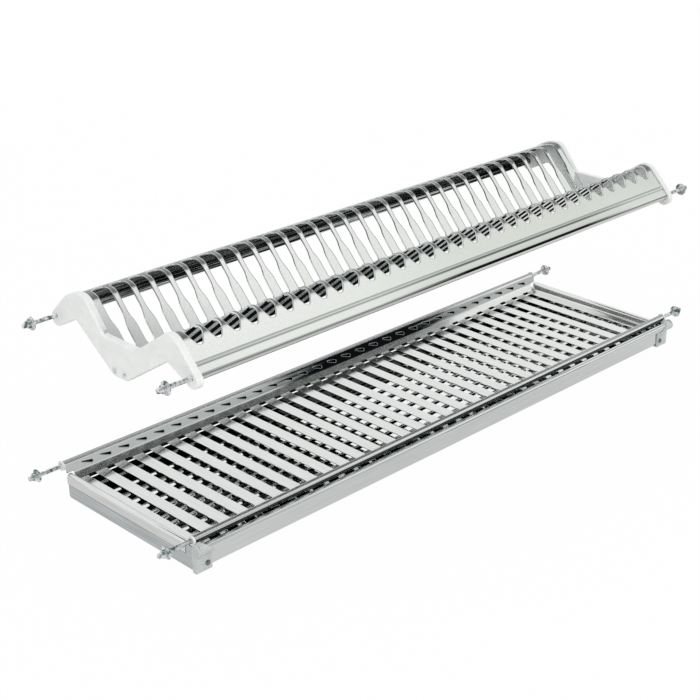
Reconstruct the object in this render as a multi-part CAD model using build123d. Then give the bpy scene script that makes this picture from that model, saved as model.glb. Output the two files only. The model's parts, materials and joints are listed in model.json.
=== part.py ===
from build123d import *
import os
from math import asin, atan2, copysign, cos, hypot, pi, sin

# A dish drainer for a wall cabinet, in two tiers: a plate rack above a glass rack with a drip tray.
# X runs along the tiers, Y from the open front to the back, Z up. The model is laid out with each
# tier's bolt axes at height zero, and every node is moved to its place in the common frame at export.

# Overall sizes
PIN_SPACING = 224.0        # between the front and back bolts, seven steps of a 32 mm hole row
TIER_SPACING = 175.0       # plate rack bolts above the glass rack bolts
PLATE_RACK_LENGTH = 787.0  # over the end caps
GLASS_RACK_LENGTH = 810.0  # over the turned-down ends
CLEARANCE = 0.3            # between a moving piece and its neighbour
SNUG = 0.15                # between pieces that are fixed to each other
OVERRUN = 5.0              # how far a cutter reaches past what it cuts
TINY = 1e-6                # shorter runs and bends are left out of an outline
ROUNDING_SHARE = 1e-12     # rolls this near to touching from inside count as tangent

# Plate rack sheet, heights from the bolt axes
SHEET_GAUGE = 1.0
CREST_HEIGHT = 34.0
BACK_CREST_Y = 66.0
FRONT_CREST_Y = -80.0
CREST_RADIUS = 15.0
BACK_SWEEP_RADIUS = 44.0   # the wide bend from the back crest into the back leg
VALLEY_DEPTH = 26.0
VALLEY_Y = 1.0
VALLEY_RADIUS = 10.5
CURL_RADIUS = 5.0
CURL_TURN_SHARE = 0.75

# Plate slots
SLOT_PITCH = 23.7
SLOT_WIDTH = 18.0
NECK_WIDTH = 11.5
SLOT_BACK_Y = 75.5
SLOT_FRONT_Y = 13.0
SHOULDER_Y = 40.0
NECK_Y = 31.0
NECK_BEND = 4.0
CREST_SLOT_BACK_Y = -64.0
CREST_SLOT_FRONT_Y = -98.0
CREST_SLOT_TIP_WIDTH = 11.0

# Plate rack end caps
CAP_THICKNESS = 8.0
CAP_WALL = 3.5             # left outside the groove that takes the sheet's end
CAP_RIM = 2.0              # how far the cap stands above the sheet
CAP_EDGE = 1.5
LOBE_RADIUS = 9.0
LOBE_DROP = 3.0            # lobe centre below the bolt axis
WEB_HEIGHT = 1.5
WEB_FRONT_Y = -20.0
WEB_FRONT_BEND = 14.0
WEB_BACK_Y = 28.0
WEB_BACK_BEND = 5.0
ARCH_BEND = 6.5            # under each crest
BACK_ARCH_Y = 77.0
FRONT_ARCH_Y = -75.0
ARCH_HEIGHT = 4.5
FOOT_DEPTH = 38.5
FOOT_WIDTH = 26.0
FOOT_Y = 5.0
FOOT_BEND = 3.0
FOOT_SCREW_SPACING = 16.0
FOOT_SCREW_RISE = 7.0      # above the foot's lower edge

# Screws
SCREW_SHANK = 2.5
SCREW_LENGTH = 7.0
SCREW_HEAD = 6.0
SCREW_HEAD_HEIGHT = 1.8

# Adjusting bolts
BOLT_DIAMETER = 5.0
BOLT_SHANK = 45.0
BOLT_BARE = 30.0           # shank between the flange and the rack's end
FLANGE_DIAMETER = 15.0
FLANGE_THICKNESS = 1.5
HEX_ACROSS_FLATS = 8.0
HEX_LENGTH = 5.0
TIP_DIAMETER = 6.0
TIP_LENGTH = 4.5
BOLT_CHAMFER = 0.5
INSERT_LENGTH = 12.0
INSERT_BORE = 5.3

# Glass rack deck, heights from the bolt axes
DECK_GAUGE = 0.8
RAIL_RADIUS = 4.5
RAIL_TURN_SHARE = 0.8
WALL_INSET = 7.5           # foot of the side wall inside the bolt axis
HEEL_DROP = 6.0            # where the wall starts to bend inwards
HEEL_BEND = 5.0
SLOPE_WIDTH = 8.1          # between the side wall and the flat of the deck
DECK_EDGE_BEND = 2.0
DECK_DROP = 15.5
END_CREST_DROP = 6.0       # each end rises to a rounded crest and turns down outside
END_BEND = 4.0
END_FOOT_BEND = 2.0
END_LEAN = 1.0             # how far the crest's inner side leans
END_FLANGE_DROP = 18.0     # lower edge of the turned-down end
END_GAP = 2.5              # between a raised end and the side walls
DECK_SLOT_PITCH = 25.0
DECK_SLOT_WIDTH = 10.0
DECK_SLOT_RISE = 2.1       # how far the slots run on across the slopes
DRAIN_LENGTH = 12.0        # leaf-shaped drain holes in the side walls
DRAIN_HEAD_RADIUS = 1.5
DRAIN_HEAD_DROP = 4.0
DRAIN_TAIL_RADIUS = 0.4
DRAIN_TAIL_DROP = 1.2

# Rail plugs
PLUG_RING_RADIUS = 5.5
PLUG_RING = 2.0
PLUG_SPIGOT = 10.0

# Drip tray
TRAY_GAUGE = 0.8
TRAY_DEPTH = 33.5
BEAD_RADIUS = 4.5          # the front wall's top edge is rolled outwards into a bead
BEAD_REACH = 10.0          # bead centre in front of the bolt axis
BEAD_DROP = 7.0
BEAD_TURN_SHARE = 0.8
TRAY_BACK_Y = 100.0
TRAY_CORNER = 3.0
HEM_WIDTH = 6.0
RIB_PITCH = 17.0
RIB_COUNT = 11
RIB_HEIGHT = 1.0
RIB_WIDTH = 9.0
RIB_BEND = 3.0

# Tray runners under the deck
RUNNER_GAUGE = 1.0
RUNNER_INSET = 9.0         # runner web inside the rack's end
RUNNER_FLANGE = 10.0
RUNNER_LEDGE = 6.0
RUNNER_END_Y = 90.0

# Tray corner brackets and bead caps
BRACKET_WIDTH = 21.0
BRACKET_WALL = 1.6
BRACKET_TOP = 0.5          # top of the dome below the bolt axis
BRACKET_DOME = 6.0
BRACKET_SHOULDER_DROP = 8.0
BRACKET_BOTTOM = 35.5
BRACKET_WING = 3.3         # the lower part laps round the tray's end wall
BRACKET_EDGE = 1.0
BRACKET_SCREW_DEPTH = 27.0
BRACKET_SCREW_INSET = 15.0
BEAD_CAP_RADIUS = 6.5
BEAD_CAP_FLANGE = 1.2
BEAD_CAP_SPIGOT = 8.0

# Worked out from the sizes above
HALF_PIN = PIN_SPACING / 2
HALF_PLATE_RACK = PLATE_RACK_LENGTH / 2
HALF_GLASS_RACK = GLASS_RACK_LENGTH / 2
SHEET_HALF = HALF_PLATE_RACK - CAP_WALL
SLOT_COUNT = int((PLATE_RACK_LENGTH - 2 * CAP_THICKNESS) / SLOT_PITCH)
DECK_FLAT_HALF = HALF_GLASS_RACK - 2 * END_BEND - END_LEAN - END_FOOT_BEND
DECK_SLOT_COUNT = int(2 * DECK_FLAT_HALF / DECK_SLOT_PITCH)
FOOT_SCREW_DEPTH = FOOT_DEPTH - FOOT_SCREW_RISE
CURL_WRAP = 2 * pi * CURL_TURN_SHARE
RAIL_WRAP = 2 * pi * RAIL_TURN_SHARE
BEAD_WRAP = 2 * pi * BEAD_TURN_SHARE
RAIL_HALF = HALF_GLASS_RACK - PLUG_RING
HEM_DROP = END_FLANGE_DROP + CLEARANCE
LEDGE_DROP = HEM_DROP + TRAY_GAUGE + CLEARANCE
BACK_WALL_TOP = LEDGE_DROP + RUNNER_GAUGE + 2 * CLEARANCE
HEEL_Y = HALF_PIN - WALL_INSET
DECK_EDGE_Y = HEEL_Y - SLOPE_WIDTH
DECK_SLOT_END_Y = DECK_EDGE_Y + DECK_SLOT_RISE
END_HALF_WIDTH = HEEL_Y - END_GAP
BEAD_Y = -HALF_PIN - BEAD_REACH
FACE_Y = BEAD_Y + BEAD_RADIUS - TRAY_GAUGE  # outer face of the tray's front wall
BRACKET_BACK_Y = -HALF_PIN - PLUG_RING_RADIUS - CLEARANCE
BRACKET_WING_Y = BRACKET_BACK_Y + BRACKET_WING
BRACKET_OVER_BEAD = BEAD_RADIUS + SNUG + BRACKET_WALL
BRACKET_FACE_Y = FACE_Y - SNUG - BRACKET_WALL
BRACKET_WING_DROP = PLUG_RING_RADIUS + 2 * BRACKET_EDGE
BRACKET_OUT = HALF_GLASS_RACK + BRACKET_WALL
BRACKET_IN = BRACKET_OUT - BRACKET_WIDTH

# Where the model's own axes stand in the common frame: its middle over the origin, its foot at zero
SHIFT_Y = -(BEAD_Y - BRACKET_OVER_BEAD + HALF_PIN + FLANGE_DIAMETER / 2) / 2
LOWER_Z = BRACKET_BOTTOM
UPPER_Z = LOWER_Z + TIER_SPACING
LOWER = Pos(0, SHIFT_Y, LOWER_Z)
UPPER = Pos(0, SHIFT_Y, UPPER_Z)

LEFT, RIGHT = -1, 1
FRONT, BACK = -1, 1


def tangent(first, second):
    """The straight run of a strip between two rolls: where it leaves, where it lands, its heading."""
    along, up = second[0] - first[0], second[1] - first[1]
    lean = (first[2] - second[2]) / hypot(along, up)
    if abs(lean) > 1 - ROUNDING_SHARE:
        lean = copysign(1, lean)
    heading = atan2(up, along) - asin(lean)
    side = Vector(-sin(heading), cos(heading))
    leaves = Vector(first[0], first[1]) + side * first[2]
    lands = Vector(second[0], second[1]) + side * second[2]
    return leaves, lands, heading


def bend(roll, heading_in, turn):
    """The arc of a strip round a roll, from a heading through a turn, or nothing for no turn."""
    centre, radius = Vector(roll[0], roll[1]), roll[2]
    points = []
    for part in (0, 0.5, 1):
        heading = heading_in + part * turn
        points.append(centre + Vector(-sin(heading), cos(heading)) * radius)
    if (points[1] - points[0]).length < TINY:
        return []
    return [ThreePointArc(*points)]


def turn_on(roll, heading_in, heading_out):
    """The turn between two headings, clockwise where the roll's radius is positive."""
    full = 2 * pi
    turn = (heading_out - heading_in) % full
    if roll[2] > 0:
        turn -= full
    return 0.0 if full - abs(turn) < TINY else turn


def strip(rolls, inset=0.0, start_wrap=0.0, end_wrap=0.0):
    """Edges of a thin strip laid over rolls, each (across, up, radius).

    A radius is positive where the strip bends clockwise round the roll, and negative where it bends
    the other way. The inset moves the strip that far to its right."""
    rolls = [(across, up, radius - inset) for across, up, radius in rolls]
    runs = [tangent(a, b) for a, b in zip(rolls, rolls[1:])]
    edges = bend(rolls[0], runs[0][2] + start_wrap, -start_wrap)
    for index, (leaves, lands, heading) in enumerate(runs):
        if (lands - leaves).length > TINY:
            edges.append(Line(leaves, lands))
        if index + 1 < len(runs):
            roll = rolls[index + 1]
            edges += bend(roll, heading, turn_on(roll, heading, runs[index + 1][2]))
    return edges + bend(rolls[-1], runs[-1][2], -end_wrap)


def loop_face(rolls):
    """The face inside a closed strip laid clockwise over rolls."""
    closed = [*rolls, rolls[0]]
    runs = [tangent(a, b) for a, b in zip(closed, closed[1:])]
    edges = []
    for index, (leaves, lands, heading) in enumerate(runs):
        roll = closed[index + 1]
        next_heading = runs[(index + 1) % len(runs)][2]
        if (lands - leaves).length > TINY:
            edges.append(Line(leaves, lands))
        edges += bend(roll, heading, turn_on(roll, heading, next_heading))
    return make_face(edges)


def sheet_face(rolls, gauge, start_wrap, end_wrap, ease=0.0):
    """The section of a bent sheet whose upper side lies over the rolls, each side eased outwards."""
    outer = strip(rolls, -ease, start_wrap, end_wrap)
    inner = strip(rolls, gauge + ease, start_wrap, end_wrap)
    ends = [Line(outer[0] @ 0, inner[0] @ 0), Line(outer[-1] @ 1, inner[-1] @ 1)]
    return make_face([*outer, *inner, *ends])


def along_x(face, start, end):
    """A section drawn in Y and Z, extruded between two places on X."""
    return extrude(Plane.YZ.offset(start) * face, end - start)


def along_y(face, start, end):
    """An outline drawn in X and Z, extruded between two places on Y."""
    facing_front = Plane(origin=(0, end, 0), x_dir=(1, 0, 0), z_dir=(0, -1, 0))
    return extrude(facing_front * face, end - start)


def rod(radius, start, end, y=0.0, z=0.0):
    """A round rod along X between two places."""
    return along_x(Pos(y, z) * Circle(radius), start, end)


def block(x, y, z):
    """A box from three (low, high) pairs."""
    low, high = zip(x, y, z)
    size = [b - a for a, b in zip(low, high)]
    return Pos(*low) * Box(*size, align=(Align.MIN, Align.MIN, Align.MIN))


def spaced(count, pitch):
    """Places of a centred row."""
    return [(index - (count - 1) / 2) * pitch for index in range(count)]


def at_side(part, side):
    """A part modelled at the right end, or its mirror image at the left."""
    return part if side == RIGHT else mirror(part, Plane.YZ)


def plate_sheet_rolls():
    crest_z = CREST_HEIGHT - CREST_RADIUS
    return [
        (-HALF_PIN, 0, CURL_RADIUS),
        (FRONT_CREST_Y, crest_z, CREST_RADIUS),
        (VALLEY_Y, VALLEY_RADIUS - VALLEY_DEPTH, -VALLEY_RADIUS),
        (BACK_CREST_Y, crest_z, CREST_RADIUS),
        (BACK_CREST_Y, CREST_HEIGHT - BACK_SWEEP_RADIUS, BACK_SWEEP_RADIUS),
        (HALF_PIN, 0, CURL_RADIUS),
    ]


def plate_slot_face():
    """The bottle-shaped plate slot in plan: wide over the back crest, a neck down the slope."""
    tip = NECK_WIDTH / 2
    wide = SLOT_WIDTH / 2
    neck = tip + NECK_BEND
    shoulder = wide - NECK_BEND
    return loop_face([
        (0, SLOT_FRONT_Y + tip, tip),
        (-neck, NECK_Y, -NECK_BEND),
        (-shoulder, SHOULDER_Y, NECK_BEND),
        (0, SLOT_BACK_Y - wide, wide),
        (shoulder, SHOULDER_Y, NECK_BEND),
        (neck, NECK_Y, -NECK_BEND),
    ])


def crest_slot_face():
    """The opening over the front crest in plan, which tapers towards its tip on the front face."""
    wide = SLOT_WIDTH / 2
    tip = CREST_SLOT_TIP_WIDTH / 2
    return loop_face([
        (0, CREST_SLOT_FRONT_Y + tip, tip),
        (0, CREST_SLOT_BACK_Y - wide, wide),
    ])


def plate_rack_sheet():
    """One pressed sheet with two crests, a deep valley, curled long edges and two rows of slots."""
    section = sheet_face(plate_sheet_rolls(), SHEET_GAUGE, CURL_WRAP, CURL_WRAP)
    sheet = along_x(section, -SHEET_HALF, SHEET_HALF)
    depth = VALLEY_DEPTH + OVERRUN
    height = CREST_HEIGHT + OVERRUN
    faces = [plate_slot_face(), crest_slot_face()]
    cutters = [
        extrude(Pos(x, 0, -depth) * face, depth + height)
        for x in spaced(SLOT_COUNT, SLOT_PITCH)
        for face in faces
    ]
    return sheet - cutters


def cap_face():
    """The cap's outline: the sheet's own line with a rim, a web over the valley and a foot."""
    crest_z = CREST_HEIGHT - CREST_RADIUS
    arch_z = ARCH_HEIGHT - ARCH_BEND
    foot_z = FOOT_BEND - FOOT_DEPTH
    foot_half = FOOT_WIDTH / 2 - FOOT_BEND
    return loop_face([
        (-HALF_PIN, -LOBE_DROP, LOBE_RADIUS),
        (FRONT_CREST_Y, crest_z, CREST_RADIUS + CAP_RIM),
        (WEB_FRONT_Y, WEB_HEIGHT + WEB_FRONT_BEND, -WEB_FRONT_BEND),
        (WEB_BACK_Y, WEB_HEIGHT + WEB_BACK_BEND, -WEB_BACK_BEND),
        (BACK_CREST_Y, crest_z, CREST_RADIUS + CAP_RIM),
        (BACK_CREST_Y, CREST_HEIGHT - BACK_SWEEP_RADIUS, BACK_SWEEP_RADIUS + CAP_RIM),
        (HALF_PIN, -LOBE_DROP, LOBE_RADIUS),
        (BACK_ARCH_Y, arch_z, -ARCH_BEND),
        (FOOT_Y + foot_half, foot_z, FOOT_BEND),
        (FOOT_Y - foot_half, foot_z, FOOT_BEND),
        (FRONT_ARCH_Y, arch_z, -ARCH_BEND),
    ])


def foot_screw_places():
    return [(FOOT_Y + y, -FOOT_SCREW_DEPTH) for y in spaced(2, FOOT_SCREW_SPACING)]


def plate_rack_cap():
    """The right end cap: a moulding with a groove for the sheet's end and a hole for each bolt."""
    inner = HALF_PLATE_RACK - CAP_THICKNESS
    cap = along_x(cap_face(), inner, HALF_PLATE_RACK)
    outer_edges = cap.faces().sort_by(Axis.X)[-1].edges()
    cap = fillet(outer_edges, CAP_EDGE)
    groove = sheet_face(plate_sheet_rolls(), SHEET_GAUGE, CURL_WRAP, CURL_WRAP, SNUG)
    cap -= along_x(groove, inner - OVERRUN, SHEET_HALF)
    for side in (FRONT, BACK):
        cap -= rod(INSERT_BORE / 2, inner - OVERRUN, HALF_PLATE_RACK + OVERRUN, side * HALF_PIN)
        core = CURL_RADIUS - SHEET_GAUGE + SNUG
        cap -= rod(core, inner - OVERRUN, SHEET_HALF, side * HALF_PIN)
    for y, z in foot_screw_places():
        cap -= rod(SCREW_SHANK / 2 + SNUG, inner - OVERRUN, HALF_PLATE_RACK + OVERRUN, y, z)
    return cap


def screw():
    """A pan-head screw along X whose head rests on the plane X = 0, with its shank inwards."""
    head_radius = SCREW_HEAD / 2
    shank = rod(SCREW_SHANK / 2, -SCREW_LENGTH, 0)
    head = rod(head_radius, 0, SCREW_HEAD_HEIGHT)
    crown = head.edges().sort_by(Axis.X)[-1]
    return shank + chamfer(crown, SCREW_HEAD_HEIGHT / 2)


def cap_screws():
    return [Pos(HALF_PLATE_RACK, y, z) * screw() for y, z in foot_screw_places()]


def insert(outside, start):
    """A threaded bush along X from a place inwards to its length."""
    return rod(outside, start - INSERT_LENGTH, start) - rod(
        INSERT_BORE / 2, start - INSERT_LENGTH - OVERRUN, start + OVERRUN)


def insert_set(outside, start):
    """The four bushes of one tier."""
    bush = insert(outside, start)
    return [
        at_side(Pos(0, side * HALF_PIN) * bush, end)
        for end in (LEFT, RIGHT)
        for side in (FRONT, BACK)
    ]


def bolt():
    """An adjusting bolt along X: the flange's inner face is on the plane X = 0."""
    shank = rod(BOLT_DIAMETER / 2, -BOLT_SHANK, 0)
    shank = chamfer(shank.edges().sort_by(Axis.X)[0], BOLT_CHAMFER)
    flange = rod(FLANGE_DIAMETER / 2, 0, FLANGE_THICKNESS)
    hexagon = RegularPolygon(HEX_ACROSS_FLATS / 2, 6, major_radius=False)
    hex_end = FLANGE_THICKNESS + HEX_LENGTH
    head = along_x(hexagon, FLANGE_THICKNESS, hex_end)
    tip = rod(TIP_DIAMETER / 2, hex_end, hex_end + TIP_LENGTH)
    tip = chamfer(tip.edges().sort_by(Axis.X)[-1], BOLT_CHAMFER)
    return shank + flange + head + tip


def placed_bolt(end, side, half_length):
    return at_side(Pos(half_length + BOLT_BARE, side * HALF_PIN) * bolt(), end)


def deck_rolls():
    """The deck's section: a rail, a wall and a slope each side of the flat deck."""
    half = [
        (-HALF_PIN, 0, RAIL_RADIUS),
        (HEEL_BEND - HEEL_Y, -HEEL_DROP, -HEEL_BEND),
        (-DECK_EDGE_Y, DECK_EDGE_BEND - DECK_DROP, -DECK_EDGE_BEND),
    ]
    return half + [(-y, z, radius) for y, z, radius in reversed(half)]


def deck_end_rolls():
    """The right end's section in X and Z: up over a rounded crest and down outside."""
    return [
        (DECK_FLAT_HALF, -DECK_DROP, 0),
        (DECK_FLAT_HALF, END_FOOT_BEND - DECK_DROP, -END_FOOT_BEND),
        (HALF_GLASS_RACK - END_BEND, -END_CREST_DROP - END_BEND, END_BEND),
        (HALF_GLASS_RACK, -END_FLANGE_DROP, 0),
    ]


def drain_face():
    """A leaf-shaped drain hole in X and Z: a round head with a thin tail that rises to the left."""
    half = DRAIN_LENGTH / 2
    return loop_face([
        (half, -DRAIN_HEAD_DROP, DRAIN_HEAD_RADIUS),
        (-half, -DRAIN_TAIL_DROP, DRAIN_TAIL_RADIUS),
    ])


def glass_rack_deck():
    """One sheet: cross slots in the deck, drained walls, rolled rails and raised ends."""
    section = sheet_face(deck_rolls(), DECK_GAUGE, RAIL_WRAP, RAIL_WRAP)
    deck = along_x(section, -RAIL_HALF, RAIL_HALF)
    heel = HEEL_Y + DECK_GAUGE
    relief = block((DECK_FLAT_HALF, HALF_GLASS_RACK), (-heel, heel),
                   (-DECK_DROP - OVERRUN, -HEEL_DROP))
    end = along_y(sheet_face(deck_end_rolls(), DECK_GAUGE, 0.0, 0.0),
                  -END_HALF_WIDTH, END_HALF_WIDTH)
    for side in (LEFT, RIGHT):
        deck -= at_side(relief, side)
        deck += at_side(end, side)
    slot = extrude(Rectangle(DECK_SLOT_WIDTH, 2 * DECK_SLOT_END_Y), OVERRUN, both=True)
    wall = HALF_PIN - RAIL_RADIUS
    drain = along_y(drain_face(), -wall, wall)
    cutters = []
    for x in spaced(DECK_SLOT_COUNT, DECK_SLOT_PITCH):
        cutters.append(Pos(x, 0, -DECK_DROP) * slot)
        cutters.append(Pos(x) * drain)
    return deck - cutters


def rail_plug(side):
    """A right-hand plug: a ring on the rail's end and a bored spigot inside the rail."""
    y = side * HALF_PIN
    plug = rod(PLUG_RING_RADIUS, RAIL_HALF, HALF_GLASS_RACK, y)
    spigot = RAIL_RADIUS - DECK_GAUGE - SNUG
    plug += rod(spigot, RAIL_HALF - PLUG_SPIGOT, RAIL_HALF, y)
    return plug - rod(INSERT_BORE / 2, RAIL_HALF - PLUG_SPIGOT - OVERRUN,
                      HALF_GLASS_RACK + OVERRUN, y)


def tray_rolls():
    """The tray's section from its front bead to its back wall, with drain ribs in the floor."""
    floor = TRAY_GAUGE - TRAY_DEPTH
    back = TRAY_BACK_Y - TRAY_GAUGE
    middle = (FACE_Y + TRAY_BACK_Y) / 2
    rolls = [
        (BEAD_Y, -BEAD_DROP, BEAD_RADIUS),
        (FACE_Y + TRAY_GAUGE + TRAY_CORNER, floor + TRAY_CORNER, -TRAY_CORNER),
    ]
    for y in spaced(RIB_COUNT, RIB_PITCH):
        rolls.append((middle + y - RIB_WIDTH / 2, floor + RIB_BEND, -RIB_BEND))
        rolls.append((middle + y, floor + RIB_HEIGHT - RIB_BEND, RIB_BEND))
        rolls.append((middle + y + RIB_WIDTH / 2, floor + RIB_BEND, -RIB_BEND))
    rolls.append((back - TRAY_CORNER, floor + TRAY_CORNER, -TRAY_CORNER))
    rolls.append((back, -BACK_WALL_TOP, 0))
    return rolls


def at_bracket_screw(part):
    """A screw or its hole, modelled along X, at its place in the right bracket's face."""
    place = Pos(BRACKET_OUT - BRACKET_SCREW_INSET, BRACKET_FACE_Y, -BRACKET_SCREW_DEPTH)
    return place * Rot(0, 0, -90) * part


def bracket_screw_hole():
    return at_bracket_screw(rod(SCREW_SHANK / 2 + SNUG, -SCREW_LENGTH - OVERRUN, OVERRUN))


def drip_tray():
    """One sheet: ribbed floor, beaded front wall, low back wall, end walls with a hem inwards."""
    section = sheet_face(tray_rolls(), TRAY_GAUGE, BEAD_WRAP, 0.0)
    tray = along_x(section, -HALF_GLASS_RACK, HALF_GLASS_RACK)
    wall = block((HALF_GLASS_RACK - TRAY_GAUGE, HALF_GLASS_RACK), (FACE_Y, TRAY_BACK_Y),
                 (-TRAY_DEPTH, -HEM_DROP))
    hem = block((HALF_GLASS_RACK - HEM_WIDTH, HALF_GLASS_RACK), (FACE_Y, TRAY_BACK_Y),
                (-HEM_DROP - TRAY_GAUGE, -HEM_DROP))
    lower_back = (wall + hem).edges().filter_by(Axis.X).group_by(Axis.Z)[0].sort_by(Axis.Y)[-1]
    end = fillet(lower_back, TRAY_CORNER)
    for side in (LEFT, RIGHT):
        tray += at_side(end, side)
        tray -= at_side(bracket_screw_hole(), side)
    return tray


def tray_runner():
    """The right runner: a flange under the deck, a web, and a ledge outwards under the tray's hem."""
    web = HALF_GLASS_RACK - RUNNER_INSET
    deck = -DECK_DROP - DECK_GAUGE
    ledge = -LEDGE_DROP
    ends = (-RUNNER_END_Y, RUNNER_END_Y)
    runner = block((web - RUNNER_FLANGE, web), ends, (deck - RUNNER_GAUGE, deck))
    runner += block((web - RUNNER_GAUGE, web), ends, (ledge - RUNNER_GAUGE, deck))
    return runner + block((web - RUNNER_GAUGE, web + RUNNER_LEDGE), ends,
                          (ledge - RUNNER_GAUGE, ledge))


def bracket_front_face():
    """The right bracket from the front, in X and Z: its top slopes from a dome to a low shoulder."""
    corner = BRACKET_EDGE
    dome = BRACKET_DOME
    return loop_face([
        (BRACKET_IN + corner, corner - BRACKET_BOTTOM, corner),
        (BRACKET_IN + dome, -BRACKET_SHOULDER_DROP - dome, dome),
        (BRACKET_OUT - dome, -BRACKET_TOP - dome, dome),
        (BRACKET_OUT - corner, corner - BRACKET_BOTTOM, corner),
    ])


def bracket_side_face():
    """The bracket from its side, in Y and Z: round the bead, down the wall, a wing at the back."""
    corner = BRACKET_EDGE
    under_bead = -BEAD_DROP - BRACKET_OVER_BEAD - 2 * corner
    return loop_face([
        (BEAD_Y, -BEAD_DROP, BRACKET_OVER_BEAD),
        (BRACKET_BACK_Y - corner, -BRACKET_TOP, corner),
        (BRACKET_BACK_Y + corner, corner - BRACKET_WING_DROP, -corner),
        (BRACKET_WING_Y - corner, -BRACKET_WING_DROP - corner, corner),
        (BRACKET_WING_Y - corner, corner - BRACKET_BOTTOM, corner),
        (BRACKET_FACE_Y + corner, corner - BRACKET_BOTTOM, corner),
        (BRACKET_FACE_Y - corner, under_bead, -corner),
    ])


def tray_bracket():
    """The right corner bracket: a moulding that wraps the tray's front corner and its bead."""
    front = BEAD_Y - BRACKET_OVER_BEAD
    bracket = along_y(bracket_front_face(), front - OVERRUN, BRACKET_WING_Y + OVERRUN)
    bracket &= along_x(bracket_side_face(), BRACKET_IN - OVERRUN, BRACKET_OUT + OVERRUN)
    inside = HALF_GLASS_RACK + SNUG
    open_end = BRACKET_IN - OVERRUN
    bracket -= rod(BEAD_RADIUS + SNUG, open_end, inside, BEAD_Y, -BEAD_DROP)
    bracket -= block((open_end, inside), (FACE_Y - SNUG, BRACKET_WING_Y + OVERRUN),
                     (-TRAY_DEPTH - SNUG, -BEAD_DROP))
    spigot = BEAD_RADIUS - TRAY_GAUGE
    bracket -= rod(spigot, inside - OVERRUN, BRACKET_OUT + OVERRUN, BEAD_Y, -BEAD_DROP)
    return bracket - bracket_screw_hole()


def bead_cap():
    """The right bead cap: a disc outside the bracket and a spigot through it into the bead."""
    out = BRACKET_OUT + BEAD_CAP_FLANGE
    cap = rod(BEAD_CAP_RADIUS, BRACKET_OUT, out, BEAD_Y, -BEAD_DROP)
    cap = chamfer(cap.edges().sort_by(Axis.X)[-1], BEAD_CAP_FLANGE / 2)
    spigot = BEAD_RADIUS - TRAY_GAUGE - SNUG
    return cap + rod(spigot, HALF_GLASS_RACK - BEAD_CAP_SPIGOT, BRACKET_OUT, BEAD_Y, -BEAD_DROP)


def write(name, tier, *solids):
    """Writes one node, moved to its place in the common frame."""
    placed = [solid for part in solids for solid in (tier * part).solids()]
    shape = placed[0] if len(placed) == 1 else Compound(children=placed)
    shape.label = name
    export_step(shape, os.path.join("parts", name + ".step"))


def main():
    os.makedirs("parts", exist_ok=True)
    write("plate_rack_sheet", UPPER, plate_rack_sheet())
    write("plate_rack_inserts", UPPER, *insert_set(CURL_RADIUS - SHEET_GAUGE - SNUG, SHEET_HALF))
    write("glass_rack_deck", LOWER, glass_rack_deck())
    write("glass_rack_inserts", LOWER,
          *insert_set(RAIL_RADIUS - DECK_GAUGE - SNUG, RAIL_HALF - PLUG_SPIGOT))
    write("drip_tray", LOWER, drip_tray())
    cap = plate_rack_cap()
    for end, word in ((LEFT, "left"), (RIGHT, "right")):
        write("plate_rack_cap_" + word, UPPER, at_side(cap, end))
        write("plate_rack_screws_" + word, UPPER, *[at_side(part, end) for part in cap_screws()])
        write("tray_runner_" + word, LOWER, at_side(tray_runner(), end))
        write("tray_bracket_" + word, LOWER, at_side(tray_bracket(), end))
        write("tray_bead_cap_" + word, LOWER, at_side(bead_cap(), end))
        write("tray_bracket_screw_" + word, LOWER, at_side(at_bracket_screw(screw()), end))
        for side, row in ((FRONT, "front"), (BACK, "back")):
            corner = row + "_" + word
            write("rail_plug_" + corner, LOWER, at_side(rail_plug(side), end))
            write("plate_rack_bolt_" + corner, UPPER, placed_bolt(end, side, HALF_PLATE_RACK))
            write("glass_rack_bolt_" + corner, LOWER, placed_bolt(end, side, HALF_GLASS_RACK))


if __name__ == "__main__":
    main()
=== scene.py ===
"""A two-tier stainless dish drainer for a wall cabinet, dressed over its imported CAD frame."""
import json
from math import asin, atan2, cos, hypot, pi, radians, sin

import bmesh
import bpy
from mathutils import Matrix, Vector
from mathutils.geometry import delaunay_2d_cdt


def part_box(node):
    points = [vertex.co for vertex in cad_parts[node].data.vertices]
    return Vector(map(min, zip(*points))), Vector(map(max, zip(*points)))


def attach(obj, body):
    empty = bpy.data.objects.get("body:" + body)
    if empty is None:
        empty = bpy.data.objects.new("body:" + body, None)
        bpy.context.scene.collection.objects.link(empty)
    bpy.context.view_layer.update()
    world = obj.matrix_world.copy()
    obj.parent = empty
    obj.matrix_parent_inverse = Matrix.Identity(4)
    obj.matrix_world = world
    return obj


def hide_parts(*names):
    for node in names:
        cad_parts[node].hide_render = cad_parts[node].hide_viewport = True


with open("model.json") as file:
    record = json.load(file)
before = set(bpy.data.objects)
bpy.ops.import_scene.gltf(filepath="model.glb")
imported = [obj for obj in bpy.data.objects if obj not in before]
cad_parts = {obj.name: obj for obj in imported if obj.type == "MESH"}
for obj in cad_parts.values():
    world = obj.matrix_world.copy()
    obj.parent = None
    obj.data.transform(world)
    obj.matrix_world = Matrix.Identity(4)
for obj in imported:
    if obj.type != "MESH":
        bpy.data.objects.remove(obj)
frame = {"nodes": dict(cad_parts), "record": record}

bl_info = {
    "name": "Two-tier dish drainer",
    "version": (1, 0, 0),
    "blender": (4, 5, 0),
    "location": "3D View > Sidebar > Drainer",
    "description": "Builds the finishes and the fine pieces of a cabinet dish drainer on its frame",
    "category": "Add Mesh",
}

MM = 0.001
MOUNTS = {mount["name"]: mount for mount in frame["record"]["mounts"]}
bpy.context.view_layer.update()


def bolt_axis(tier, row):
    """Where a tier's front or back bolt axis runs: its Y and its Z, in metres."""
    place = MOUNTS[f"{tier}_pin_{row}_left"]["pos_m"]
    return place[1], place[2]


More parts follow.
